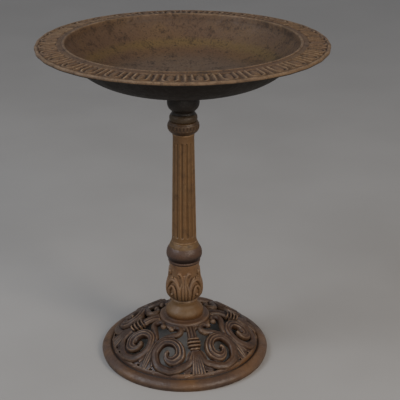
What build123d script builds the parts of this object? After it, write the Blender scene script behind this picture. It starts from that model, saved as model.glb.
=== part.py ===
"""Bird bath: a shallow round basin screwed onto a fluted column that stands on a pierced domed base.

Units are millimetres. The column's axis is Z, the floor is z = 0 and the front is towards -Y.
The castings are stacked on one threaded tie rod, each centred on the one below by a short spigot.
"""
import os
from math import atan2, cos, degrees, hypot, radians, sin, sqrt, tan

from build123d import *

os.makedirs("parts", exist_ok=True)

# ---- Base casting -----------------------------------------------------------------------------
foot_radius = 145.35           # widest part of the foot ring
foot_ring_width = 18.35        # from the groove round the dome out to the widest part
foot_edge_height = 7.5         # height of the widest part above the floor
foot_crown_height = 15.5       # top of the convex foot ring
foot_undercut = 1.9            # how far the ring draws in from its widest part to the floor
foot_shoulder_inset = 2.6      # point on the ring's rounded outside, in from the widest part
foot_shoulder_height = 13.0
foot_crown_offset = 5.5        # from the dome's edge out to the ring's crown
foot_wall_width = 9.2          # solid part of the ring, under the crown
groove_height = 13.0           # bottom of the groove between foot ring and dome
groove_width = 1.0
dome_edge_height = 18.0        # dome's outer edge, just inside the groove
dome_top_height = 64.0         # dome's inner edge, at the collar
dome_bulge = 6.8               # how far the dome rises over the straight line between its edges
shell_thickness = 6.0
collar_radius = 43.5           # plain collar at the middle of the dome
collar_height = 69.5
collar_margin = 2.5            # from the collar out to the dome's inner edge
collar_bevel_width = 3.0
collar_bevel_height = 2.0
base_height = 71.0             # seat that the column stands on
hub_seat_radius = 33.6
hub_seat_bevel = 2.0
hub_radius = 24.0              # boss under the dome, round the tie rod
hub_bottom_height = 54.0

# Pierced scrollwork: quarter sectors, each mirrored about the tassel in its middle.
sector_count = 4
tassel_azimuth = 11.0          # first tassel, degrees from the front towards +X
scroll_angle = 25.0            # centre of a scroll, degrees either side of its tassel
scroll_centre_radius = 96.5
scroll_radius = 27.5           # outside of the scroll's raised band
scroll_band_width = 6.5
scroll_slot_width = 7.0        # opening between the band and the curl inside it
scroll_slot_margin = 0.8       # dome left between the band and the opening
scroll_slot_start = 60.0       # degrees from the outward direction back to the start of the opening
scroll_slot_sweep = 225.0      # degrees of the opening round the scroll's centre
relief_height = 2.4            # how far bands and tassels stand above the dome
relief_margin = 2.0            # plain edge of the dome outside the relief
tassel_rib_half_width = 10.5
tassel_stem_half_width = 7.0
tassel_skirt_half_width = 7.4  # below the ribs
tassel_foot_half_width = 9.8   # at the dome's edge
tassel_rib_radius = 79.0       # middle of the ribs, from the axis
tassel_rib_length = 18.0
tassel_stem_overlap = 4.0      # how far the stem runs on under the ribs and the collar, together
pin_hole_radius = 1.5
pin_hole_ring_radius = 122.3
pin_hole_angle = 5.8           # either side of each tassel and each leaf
leaf_hole_radius = 66.0        # middle of the opening between two scrolls
leaf_hole_width = 12.8
leaf_hole_length = 14.4
leaf_hole_corner = 4.0
stem_hole_radius = 68.0        # middle of the opening beside each tassel stem
stem_hole_angle = 14.0
stem_hole_size = 4.6

# ---- Column -----------------------------------------------------------------------------------
core_radius = 11.5             # hollow through the column castings
register_radius = 15.0         # spigot that centres each casting on the one below
register_height = 3.0
register_clearance = 0.2       # radial, in each recess
register_relief = 0.5          # recess is this much deeper than the spigot is tall

bun_height = 27.0
bun_radius = 32.8
bun_foot_radius = 31.4
bun_top_radius = 22.0
bun_widest_height = 5.7
bun_shoulder_radius = 28.4
bun_shoulder_height = 14.5
bun_neck_radius = 22.8
bun_neck_height = 20.0

bulb_height = 73.0
bulb_radius = 32.6
bulb_ring_radius = 23.2        # thin ring at the bulb's foot
bulb_ring_height = 4.5
bulb_ring_rounding = 0.8
bulb_lower_radius = 28.0       # swelling up from the ring
bulb_lower_height = 10.5
bulb_widest_height = 23.0
bulb_upper_radius = 28.45      # drawing in towards the waist
bulb_upper_height = 40.0
bulb_waist_radius = 24.3
bulb_waist_drop = 19.4         # below the bulb's top
bulb_top_radius = 26.2

torus_height = 38.0
torus_radius = 30.4
torus_widest_height = 16.0
torus_low_inset = 1.2          # points on the round, below and above the widest part
torus_low_height = 7.6
torus_high_inset = 0.7
torus_high_height = 22.8
torus_shoulder_radius = 25.6
torus_shoulder_drop = 7.6      # below the torus's top
torus_top_radius = 21.6

shaft_height = 192.5
shaft_foot_radius = 20.9
shaft_neck_radius = 17.6
shaft_lip_radius = 18.1
shaft_lip_height = 7.0
shaft_lip_bevel = 0.3
shaft_lip_bevel_height = 1.0
shaft_base_height = 2.0        # plain ring at the shaft's foot
shaft_base_bevel_height = 1.5
flute_count = 14
flute_turn = 4.0               # degrees by which the flutes are turned about the axis
flute_radius = 2.4
flute_offset = 0.5             # flute centre outside the shaft's surface
flute_foot_margin = 13.0       # from the shaft's foot to the end of the flutes
flute_neck_margin = 16.0       # from the shaft's top to the end of the flutes

bead_height = 21.5
bead_radius = 26.4
bead_widest_height = 11.9
bead_foot_height = 0.6         # straight part at the foot
bead_shoulder_radius = 23.8
bead_shoulder_drop = 1.9       # below the collar's top
bead_foot_radius = 18.8
bead_neck_radius = 22.4

seat_height = 40.0
seat_ring_radius = 22.9        # small bead under the cup
seat_ring_height = 10.0
seat_ring_foot_inset = 1.0
seat_ring_top_inset = 1.5
seat_neck_radius = 18.6
seat_neck_height = 15.0
seat_cup_radius = 24.2
seat_cup_height = 22.5
seat_rim_radius = 26.0         # plain rim that carries the bowl
seat_rim_height = 11.0
seat_web_thickness = 8.0       # web that the seat nut clamps

# ---- Bowl -------------------------------------------------------------------------------------
bowl_radius = 231.5            # outside of the rim
bowl_depth = 83.35             # from the underside of the bowl at its boss up to the top of the rim
bowl_wall = 4.5
boss_radius = 30.0
boss_height = 7.65
basin_floor_radius = 36.0      # level middle of the basin
bowl_floor_angle = 12.7        # slope of the shallow cone round the boss
rim_width = 41.5               # from the outside of the bowl's wall to the outside of the rim
rounded_wall_width = 72.0      # plan width of the rounded wall, between the cone and the rim
rim_thickness = 5.0
rim_fall = 3.4                 # how much lower the rim's outer edge is than its inner edge
rim_lip_radius = 1.9           # rounding of the rim's outer edge
rim_bead_width = 4.6           # raised bead round the basin's mouth
rim_bead_height = 1.0
wall_fillet_width = 3.0        # bevel between wall and rim, underneath
wall_fillet_height = 0.5
basin_mouth_inset = 5.4        # from the outside of the wall in to the basin's mouth

# ---- Tie rod, nuts and washers: 3/8 in, 16 threads to the inch ---------------------------------
rod_radius = 4.7625
thread_pitch = 1.5875
bowl_thread_turns = 7          # turns that hold the bowl on the rod
thread_clearance = 0.05        # radial, between the rod and the bowl's threaded hole
rod_hole_clearance = 0.6       # radial, in the base hub and the seat's web
rod_end_gap = 0.4              # between the rod's top and the bottom of the bowl's blind hole
rod_tail = 4.0                 # rod left below the base nut
rod_chamfer = 0.8
gasket_radius = 25.0
gasket_bore_clearance = 0.64   # radial, round the rod
gasket_thickness = 2.0
washer_radius = 19.0
washer_thickness = 2.5
lock_washer_radius = 8.6
lock_washer_thickness = 2.0
lock_washer_gap = 12.0         # split, degrees
nut_across_flats = 14.2875
nut_height = 8.33
seat_washer_radius = 10.3
seat_washer_thickness = 1.6
seat_nut_height = 5.56
pocket_radius = 12.5           # pocket in the seat, round the seat nut
pocket_depth = 9.0

# ---- Levels, worked out from the floor up -------------------------------------------------------
bun_z = base_height
bulb_z = bun_z + bun_height
torus_z = bulb_z + bulb_height
shaft_z = torus_z + torus_height
bead_z = shaft_z + shaft_height
seat_z = bead_z + bead_height
gasket_z = seat_z + seat_height
boss_z = gasket_z + gasket_thickness
bowl_z = boss_z + boss_height
rim_z = bowl_z + bowl_depth - rim_bead_height
thread_length = bowl_thread_turns * thread_pitch
rod_top_z = boss_z + thread_length
washer_z = hub_bottom_height - washer_thickness
lock_washer_z = washer_z - lock_washer_thickness
base_nut_z = lock_washer_z - nut_height
rod_bottom_z = base_nut_z - rod_tail
pocket_z = gasket_z - pocket_depth
seat_nut_z = pocket_z + seat_washer_thickness

rod_length = rod_top_z - rod_bottom_z
rod_hole_radius = rod_radius + rod_hole_clearance

UP = (Align.CENTER, Align.CENTER, Align.MIN)


def drum(radius, bottom_z, height, mode=Mode.ADD):
    """Upright cylinder on the column's axis."""
    with Locations((0, 0, bottom_z)):
        Cylinder(radius, height, align=UP, mode=mode)


def spigot(top_z):
    """Spigot on a casting's top face. The core is cut through it afterwards."""
    drum(register_radius, top_z, register_height)


def recess(bottom_z):
    """Recess in a casting's foot, for the spigot of the casting below."""
    drum(register_radius + register_clearance, bottom_z, register_height + register_relief, Mode.SUBTRACT)


def polar(radius, azimuth):
    """Plan position at an azimuth counted from the front towards +X."""
    return (radius * sin(radians(azimuth)), -radius * cos(radians(azimuth)))


# ---- Base casting: pierced dome, foot ring, collar and hub ---------------------------------------
dome_radius = foot_radius - foot_ring_width
dome_mouth_radius = collar_radius + collar_margin
dome_middle_radius = (dome_mouth_radius + dome_radius) / 2
dome_middle_height = (dome_top_height + dome_edge_height) / 2 + dome_bulge
foot_crown_radius = dome_radius + foot_crown_offset
foot_inner_radius = foot_radius - foot_wall_width

with BuildPart() as base_casting:
    with BuildSketch(Plane.XZ):
        with BuildLine():
            Line((0, hub_bottom_height), (hub_radius, hub_bottom_height))
            Line((hub_radius, hub_bottom_height), (hub_radius, dome_top_height - shell_thickness))
            Line(
                (hub_radius, dome_top_height - shell_thickness),
                (dome_mouth_radius, dome_top_height - shell_thickness),
            )
            ThreePointArc(
                (dome_mouth_radius, dome_top_height - shell_thickness),
                (dome_middle_radius, dome_middle_height - shell_thickness),
                (dome_radius, dome_edge_height - shell_thickness),
            )
            Polyline(
                (dome_radius, dome_edge_height - shell_thickness),
                (foot_inner_radius, foot_edge_height),
                (foot_inner_radius, 0),
                (foot_radius - foot_undercut, 0),
                (foot_radius, foot_edge_height),
            )
            ThreePointArc(
                (foot_radius, foot_edge_height),
                (foot_radius - foot_shoulder_inset, foot_shoulder_height),
                (foot_crown_radius, foot_crown_height),
            )
            Polyline(
                (foot_crown_radius, foot_crown_height),
                (dome_radius + groove_width, groove_height),
                (dome_radius, groove_height),
                (dome_radius, dome_edge_height),
            )
            ThreePointArc(
                (dome_radius, dome_edge_height),
                (dome_middle_radius, dome_middle_height),
                (dome_mouth_radius, dome_top_height),
            )
            Polyline(
                (dome_mouth_radius, dome_top_height),
                (collar_radius, dome_top_height),
                (collar_radius, collar_height - collar_bevel_height),
                (collar_radius - collar_bevel_width, collar_height),
                (hub_seat_radius + hub_seat_bevel, collar_height),
                (hub_seat_radius, base_height),
                (0, base_height),
                (0, hub_bottom_height),
            )
        make_face()
    revolve(axis=Axis.Z)
    spigot(base_height)
    drum(rod_hole_radius, 0, base_height + 2 * register_height, Mode.SUBTRACT)

# Relief on the dome: a ring for each scroll, and a stem, ribs and foot for each tassel.
with BuildPart() as relief:
    with BuildSketch(Plane.XZ):
        with BuildLine():
            ThreePointArc(
                (dome_radius - relief_margin, dome_edge_height + relief_height),
                (dome_middle_radius, dome_middle_height + relief_height),
                (dome_mouth_radius, dome_top_height + relief_height),
            )
            Line(
                (dome_mouth_radius, dome_top_height + relief_height),
                (dome_mouth_radius, dome_top_height - shell_thickness / 2),
            )
            ThreePointArc(
                (dome_mouth_radius, dome_top_height - shell_thickness / 2),
                (dome_middle_radius, dome_middle_height - shell_thickness / 2),
                (dome_radius - relief_margin, dome_edge_height - shell_thickness / 2),
            )
            Line(
                (dome_radius - relief_margin, dome_edge_height - shell_thickness / 2),
                (dome_radius - relief_margin, dome_edge_height + relief_height),
            )
        make_face()
    revolve(axis=Axis.Z)
    with BuildSketch(Plane.XY) as relief_plan:
        for sector in range(sector_count):
            tassel = tassel_azimuth + sector * 360 / sector_count
            for side in (-1, 1):
                with Locations(polar(scroll_centre_radius, tassel + side * scroll_angle)):
                    Circle(scroll_radius)
                    Circle(scroll_radius - scroll_band_width, mode=Mode.SUBTRACT)
        for sector in range(sector_count):
            tassel = tassel_azimuth + sector * 360 / sector_count
            stem_length = tassel_rib_radius - dome_mouth_radius
            stem_run = stem_length + tassel_stem_overlap
            foot_length = dome_radius - tassel_rib_radius
            for radius, length, half_width in (
                (tassel_rib_radius - stem_length / 2, stem_run, tassel_stem_half_width),
                (tassel_rib_radius, tassel_rib_length, tassel_rib_half_width),
                (dome_radius - foot_length / 2, foot_length, tassel_skirt_half_width),
                (dome_radius - foot_length / 4, foot_length / 2, tassel_foot_half_width),
            ):
                with Locations(Location(polar(radius, tassel), tassel)):
                    Rectangle(2 * half_width, length)
    extrude(amount=base_height, mode=Mode.INTERSECT)

with base_casting:
    add(relief.part)
    with BuildSketch(Plane.XY):
        for sector in range(sector_count):
            tassel = tassel_azimuth + sector * 360 / sector_count
            for side in (-1, 1):
                scroll = tassel + side * scroll_angle
                slot_radius = scroll_radius - scroll_band_width - scroll_slot_margin - scroll_slot_width / 2
                outward = scroll - 90
                with Locations(polar(scroll_centre_radius, scroll)):
                    SlotArc(
                        CenterArc(
                            (0, 0), slot_radius,
                            outward - side * scroll_slot_start, side * scroll_slot_sweep,
                        ),
                        scroll_slot_width,
                    )
                with Locations(polar(stem_hole_radius, tassel + side * stem_hole_angle)):
                    Circle(stem_hole_size)
                for axis in (tassel, tassel + 180 / sector_count):
                    with Locations(polar(pin_hole_ring_radius, axis + side * pin_hole_angle)):
                        Circle(pin_hole_radius)
            with Locations(Location((*polar(leaf_hole_radius, tassel + 180 / sector_count), 0),
                                    (0, 0, tassel + 180 / sector_count))):
                RectangleRounded(leaf_hole_width, leaf_hole_length, leaf_hole_corner)
    extrude(amount=base_height + relief_height, mode=Mode.SUBTRACT)
base_casting.part.label = "base_casting"
export_step(base_casting.part, "parts/base_casting.step")

# ---- Bun foot --------------------------------------------------------------------------------
with BuildPart() as bun_foot:
    with BuildSketch(Plane.XZ):
        with BuildLine():
            Line((0, bun_z), (bun_foot_radius, bun_z))
            Spline(
                (bun_foot_radius, bun_z),
                (bun_radius, bun_z + bun_widest_height),
                (bun_shoulder_radius, bun_z + bun_shoulder_height),
                (bun_neck_radius, bun_z + bun_neck_height),
                (bun_top_radius, bun_z + bun_height),
            )
            Polyline((bun_top_radius, bun_z + bun_height), (0, bun_z + bun_height), (0, bun_z))
        make_face()
    revolve(axis=Axis.Z)
    spigot(bun_z + bun_height)
    drum(core_radius, bun_z, bun_height + register_height, Mode.SUBTRACT)
    recess(bun_z)
bun_foot.part.label = "bun_foot"
export_step(bun_foot.part, "parts/bun_foot.step")

# ---- Acanthus bulb -----------------------------------------------------------------------------
with BuildPart() as acanthus_bulb:
    bulb_ring_top = bulb_z + bulb_ring_height
    with BuildSketch(Plane.XZ):
        with BuildLine():
            Line((0, bulb_z), (bulb_ring_radius - bulb_ring_rounding, bulb_z))
            ThreePointArc(
                (bulb_ring_radius - bulb_ring_rounding, bulb_z),
                (bulb_ring_radius, bulb_z + bulb_ring_height / 2),
                (bulb_ring_radius - bulb_ring_rounding, bulb_ring_top),
            )
            Spline(
                (bulb_ring_radius - bulb_ring_rounding, bulb_ring_top),
                (bulb_lower_radius, bulb_z + bulb_lower_height),
                (bulb_radius, bulb_z + bulb_widest_height),
                (bulb_upper_radius, bulb_z + bulb_upper_height),
                (bulb_waist_radius, bulb_z + bulb_height - bulb_waist_drop),
                (bulb_top_radius, bulb_z + bulb_height),
            )
            Polyline((bulb_top_radius, bulb_z + bulb_height), (0, bulb_z + bulb_height), (0, bulb_z))
        make_face()
    revolve(axis=Axis.Z)
    spigot(bulb_z + bulb_height)
    drum(core_radius, bulb_z, bulb_height + register_height, Mode.SUBTRACT)
    recess(bulb_z)
acanthus_bulb.part.label = "acanthus_bulb"
export_step(acanthus_bulb.part, "parts/acanthus_bulb.step")

# ---- Torus collar ------------------------------------------------------------------------------
with BuildPart() as torus_collar:
    with BuildSketch(Plane.XZ):
        with BuildLine():
            Line((0, torus_z), (bulb_top_radius, torus_z))
            Spline(
                (bulb_top_radius, torus_z),
                (torus_radius - torus_low_inset, torus_z + torus_low_height),
                (torus_radius, torus_z + torus_widest_height),
                (torus_radius - torus_high_inset, torus_z + torus_high_height),
                (torus_shoulder_radius, torus_z + torus_height - torus_shoulder_drop),
                (torus_top_radius, torus_z + torus_height),
            )
            Polyline((torus_top_radius, torus_z + torus_height), (0, torus_z + torus_height), (0, torus_z))
        make_face()
    revolve(axis=Axis.Z)
    spigot(torus_z + torus_height)
    drum(core_radius, torus_z, torus_height + register_height, Mode.SUBTRACT)
    recess(torus_z)
torus_collar.part.label = "torus_collar"
export_step(torus_collar.part, "parts/torus_collar.step")

# ---- Fluted shaft ------------------------------------------------------------------------------
shaft_body_height = shaft_height - shaft_lip_height
shaft_taper = (shaft_foot_radius - shaft_neck_radius) / shaft_body_height
taper_angle = degrees(atan2(shaft_taper, 1))
flute_length = shaft_height - flute_foot_margin - flute_neck_margin
flute_foot_centre = shaft_foot_radius - shaft_taper * flute_foot_margin + flute_offset
flute_neck_centre = flute_foot_centre - shaft_taper * flute_length

with BuildPart() as fluted_shaft:
    with BuildSketch(Plane.XZ):
        with BuildLine():
            Polyline(
                (0, shaft_z),
                (torus_top_radius, shaft_z),
                (torus_top_radius, shaft_z + shaft_base_height),
                (shaft_foot_radius, shaft_z + shaft_base_height + shaft_base_bevel_height),
                (shaft_neck_radius, shaft_z + shaft_body_height),
                (shaft_lip_radius, shaft_z + shaft_height - shaft_lip_bevel_height),
                (shaft_lip_radius - shaft_lip_bevel, shaft_z + shaft_height),
                (0, shaft_z + shaft_height),
                (0, shaft_z),
            )
        make_face()
    revolve(axis=Axis.Z)
    with PolarLocations(0, flute_count, start_angle=flute_turn):
        with Locations(Location((flute_foot_centre, 0, shaft_z + flute_foot_margin), (0, -taper_angle, 0))):
            Cylinder(flute_radius, flute_length, align=UP, mode=Mode.SUBTRACT)
        with Locations(
            (flute_foot_centre, 0, shaft_z + flute_foot_margin),
            (flute_neck_centre, 0, shaft_z + flute_foot_margin + flute_length),
        ):
            Sphere(flute_radius, mode=Mode.SUBTRACT)
    spigot(shaft_z + shaft_height)
    drum(core_radius, shaft_z, shaft_height + register_height, Mode.SUBTRACT)
    recess(shaft_z)
fluted_shaft.part.label = "fluted_shaft"
export_step(fluted_shaft.part, "parts/fluted_shaft.step")

# ---- Bead collar -------------------------------------------------------------------------------
with BuildPart() as bead_collar:
    with BuildSketch(Plane.XZ):
        with BuildLine():
            Line((0, bead_z), (bead_foot_radius, bead_z))
            Line((bead_foot_radius, bead_z), (bead_foot_radius, bead_z + bead_foot_height))
            ThreePointArc(
                (bead_foot_radius, bead_z + bead_foot_height),
                (bead_radius, bead_z + bead_widest_height),
                (bead_shoulder_radius, bead_z + bead_height - bead_shoulder_drop),
            )
            Polyline(
                (bead_shoulder_radius, bead_z + bead_height - bead_shoulder_drop),
                (bead_neck_radius, bead_z + bead_height),
                (0, bead_z + bead_height),
                (0, bead_z),
            )
        make_face()
    revolve(axis=Axis.Z)
    spigot(bead_z + bead_height)
    drum(core_radius, bead_z, bead_height + register_height, Mode.SUBTRACT)
    recess(bead_z)
bead_collar.part.label = "bead_collar"
export_step(bead_collar.part, "parts/bead_collar.step")

# ---- Bowl seat: neck, cup and the rim that carries the bowl -----------------------------------
with BuildPart() as bowl_seat:
    with BuildSketch(Plane.XZ):
        with BuildLine():
            Line((0, seat_z), (seat_ring_radius - seat_ring_foot_inset, seat_z))
            ThreePointArc(
                (seat_ring_radius - seat_ring_foot_inset, seat_z),
                (seat_ring_radius, seat_z + seat_ring_height / 2),
                (seat_ring_radius - seat_ring_top_inset, seat_z + seat_ring_height),
            )
            Spline(
                (seat_ring_radius - seat_ring_top_inset, seat_z + seat_ring_height),
                (seat_neck_radius, seat_z + seat_neck_height),
                (seat_cup_radius, seat_z + seat_cup_height),
                (seat_rim_radius, seat_z + seat_height - seat_rim_height),
            )
            Polyline(
                (seat_rim_radius, seat_z + seat_height - seat_rim_height),
                (seat_rim_radius, seat_z + seat_height),
                (0, seat_z + seat_height),
                (0, seat_z),
            )
        make_face()
    revolve(axis=Axis.Z)
    drum(core_radius, seat_z, pocket_z - seat_web_thickness - seat_z, Mode.SUBTRACT)
    drum(rod_hole_radius, seat_z, seat_height, Mode.SUBTRACT)
    drum(pocket_radius, pocket_z, pocket_depth, Mode.SUBTRACT)
    recess(seat_z)
bowl_seat.part.label = "bowl_seat"
export_step(bowl_seat.part, "parts/bowl_seat.step")

# ---- Bowl gasket -------------------------------------------------------------------------------
with BuildPart() as bowl_gasket:
    drum(gasket_radius, gasket_z, gasket_thickness)
    drum(rod_radius + gasket_bore_clearance, gasket_z, gasket_thickness, Mode.SUBTRACT)
bowl_gasket.part.label = "bowl_gasket"
export_step(bowl_gasket.part, "parts/bowl_gasket.step")

# ---- Bowl: boss, shallow cone, rounded wall and flat rim ------------------------------------------
# The wall's arc leaves the cone on its tangent and ends under the rim. The inside is parallel to it.
bowl_wall_radius = bowl_radius - rim_width
bowl_cone_radius = bowl_wall_radius - rounded_wall_width
basin_mouth_radius = bowl_wall_radius - basin_mouth_inset
slope = radians(bowl_floor_angle)
cone_start = (boss_radius, bowl_z)
cone_end = (bowl_cone_radius, bowl_z + (bowl_cone_radius - boss_radius) * tan(slope))
rim_outer_z = rim_z - rim_fall
rim_under_z = rim_outer_z - rim_thickness
wall_end = (bowl_wall_radius, rim_under_z + wall_fillet_height)
chord = (wall_end[0] - cone_end[0], wall_end[1] - cone_end[1])
wall_arc_radius = hypot(*chord) ** 2 / (2 * (chord[1] * cos(slope) - chord[0] * sin(slope)))
arc_centre = (cone_end[0] - wall_arc_radius * sin(slope), cone_end[1] + wall_arc_radius * cos(slope))
inner_arc_radius = wall_arc_radius - bowl_wall
inner_cone_end = (cone_end[0] - bowl_wall * sin(slope), cone_end[1] + bowl_wall * cos(slope))
mouth_drop = inner_arc_radius**2 - (basin_mouth_radius - arc_centre[0]) ** 2
inner_wall_end = (basin_mouth_radius, arc_centre[1] - sqrt(mouth_drop))
inner_floor_z = inner_cone_end[1] - (inner_cone_end[0] - basin_floor_radius) * tan(slope)

with BuildPart() as bowl:
    with BuildSketch(Plane.XZ):
        with BuildLine():
            Polyline((0, boss_z), (boss_radius, boss_z), cone_start, cone_end)
            TangentArc(cone_end, wall_end, tangent=(cos(slope), sin(slope)))
            Polyline(
                wall_end,
                (bowl_wall_radius + wall_fillet_width, rim_under_z),
                (bowl_radius - rim_lip_radius, rim_under_z),
                (bowl_radius, rim_under_z + rim_lip_radius),
                (bowl_radius, rim_outer_z - rim_lip_radius),
                (bowl_radius - rim_lip_radius, rim_outer_z),
                (basin_mouth_radius + rim_bead_width, rim_z),
            )
            ThreePointArc(
                (basin_mouth_radius + rim_bead_width, rim_z),
                (basin_mouth_radius + rim_bead_width / 2, rim_z + rim_bead_height),
                (basin_mouth_radius, rim_z),
            )
            Line((basin_mouth_radius, rim_z), inner_wall_end)
            TangentArc(inner_cone_end, inner_wall_end, tangent=(cos(slope), sin(slope)))
            Polyline(inner_cone_end, (basin_floor_radius, inner_floor_z), (0, inner_floor_z), (0, boss_z))
        make_face()
    revolve(axis=Axis.Z)
    drum(rod_radius + thread_clearance, boss_z, thread_length + rod_end_gap, Mode.SUBTRACT)
bowl.part.label = "bowl"
export_step(bowl.part, "parts/bowl.step")

# ---- Tie rod -----------------------------------------------------------------------------------
with BuildPart() as tie_rod:
    drum(rod_radius, rod_bottom_z, rod_length)
    chamfer(tie_rod.edges().filter_by(GeomType.CIRCLE), rod_chamfer)
tie_rod.part.label = "tie_rod"
export_step(tie_rod.part, "parts/tie_rod.step")

# ---- Fasteners ---------------------------------------------------------------------------------
nut_corner_radius = nut_across_flats / 2 / cos(radians(30))

with BuildPart() as base_washer:
    drum(washer_radius, washer_z, washer_thickness)
    drum(rod_hole_radius, washer_z, washer_thickness, Mode.SUBTRACT)
base_washer.part.label = "base_washer"
export_step(base_washer.part, "parts/base_washer.step")

with BuildPart() as lock_washer:
    drum(lock_washer_radius, lock_washer_z, lock_washer_thickness)
    drum(rod_hole_radius, lock_washer_z, lock_washer_thickness, Mode.SUBTRACT)
    lock_washer_slit = lock_washer_radius * tan(radians(lock_washer_gap))
    with Locations((0, 0, lock_washer_z)):
        Box(lock_washer_slit, 2 * lock_washer_radius, lock_washer_thickness,
            align=(Align.CENTER, Align.MIN, Align.MIN), mode=Mode.SUBTRACT)
lock_washer.part.label = "lock_washer"
export_step(lock_washer.part, "parts/lock_washer.step")

with BuildPart() as base_nut:
    with BuildSketch(Plane.XY.offset(base_nut_z)):
        RegularPolygon(nut_corner_radius, 6)
        Circle(rod_radius, mode=Mode.SUBTRACT)
    extrude(amount=nut_height)
base_nut.part.label = "base_nut"
export_step(base_nut.part, "parts/base_nut.step")

with BuildPart() as seat_washer:
    drum(seat_washer_radius, pocket_z, seat_washer_thickness)
    drum(rod_hole_radius, pocket_z, seat_washer_thickness, Mode.SUBTRACT)
seat_washer.part.label = "seat_washer"
export_step(seat_washer.part, "parts/seat_washer.step")

with BuildPart() as seat_nut:
    with BuildSketch(Plane.XY.offset(seat_nut_z)):
        RegularPolygon(nut_corner_radius, 6)
        Circle(rod_radius, mode=Mode.SUBTRACT)
    extrude(amount=seat_nut_height)
seat_nut.part.label = "seat_nut"
export_step(seat_nut.part, "parts/seat_nut.step")
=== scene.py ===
"""Bird bath: cast scrollwork, leaves, rim pattern, fasteners and bronze finishes round the CAD frame.

Sizes are named in millimetres and turned into metres where a mesh is made. The front faces -Y, and an
azimuth is counted in degrees from the front towards +X.
"""

from math import ceil, cos, pi, radians, sin, tau

import bmesh
import bpy
import numpy as np
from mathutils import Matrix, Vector


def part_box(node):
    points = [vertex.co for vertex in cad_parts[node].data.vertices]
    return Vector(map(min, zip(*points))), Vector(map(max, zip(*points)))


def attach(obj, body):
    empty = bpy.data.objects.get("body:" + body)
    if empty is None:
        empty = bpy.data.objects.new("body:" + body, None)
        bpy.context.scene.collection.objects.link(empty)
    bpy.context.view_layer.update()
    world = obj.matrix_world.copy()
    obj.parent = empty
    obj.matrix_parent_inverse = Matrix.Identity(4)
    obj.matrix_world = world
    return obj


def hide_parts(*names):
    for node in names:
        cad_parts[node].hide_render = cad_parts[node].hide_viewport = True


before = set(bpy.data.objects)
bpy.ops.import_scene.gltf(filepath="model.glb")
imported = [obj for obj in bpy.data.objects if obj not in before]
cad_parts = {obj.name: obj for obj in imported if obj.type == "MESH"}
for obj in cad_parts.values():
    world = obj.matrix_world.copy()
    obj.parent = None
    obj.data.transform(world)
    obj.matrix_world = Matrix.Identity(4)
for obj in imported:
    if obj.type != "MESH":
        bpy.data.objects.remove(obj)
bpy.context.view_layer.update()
MM = 0.001


def box_mm(node):
    """Lowest and highest corner of a CAD node, in millimetres."""
    low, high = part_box(node)
    return np.array(low) / MM, np.array(high) / MM


# ---- Camera, floor and light ---------------------------------------------------------------------

CAMERA_DISTANCE = 1.589
CAMERA_HEIGHT = 0.948
CAMERA_PITCH = 22.72
CAMERA_YAW = 0.97
CAMERA_LENS = 92.86


def link(item):
    bpy.context.scene.collection.objects.link(item)
    return item


def make_camera():
    data = bpy.data.cameras.new("camera")
    data.sensor_width = 36
    data.lens = CAMERA_LENS
    camera = link(bpy.data.objects.new("camera", data))
    camera.location = (0, -CAMERA_DISTANCE, CAMERA_HEIGHT)
    camera.rotation_euler = (radians(90 - CAMERA_PITCH), 0, radians(-CAMERA_YAW))
    bpy.context.scene.camera = camera


def make_light(name, location, target, size, power, colour):
    data = bpy.data.lights.new(name, "AREA")
    data.shape = "DISK"
    data.size = size
    data.energy = power
    data.color = colour
    light = link(bpy.data.objects.new(name, data))
    light.location = location
    direction = np.array(target) - np.array(location)
    light.rotation_euler = Vector(direction).to_track_quat("-Z", "Y").to_euler()


def make_world(colour, strength):
    world = bpy.data.worlds.new("studio")
    world.use_nodes = True
    background = world.node_tree.nodes["Background"]
    background.inputs["Color"].default_value = (*colour, 1)
    background.inputs["Strength"].default_value = strength
    bpy.context.scene.world = world


# ---- Materials -----------------------------------------------------------------------------------

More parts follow.
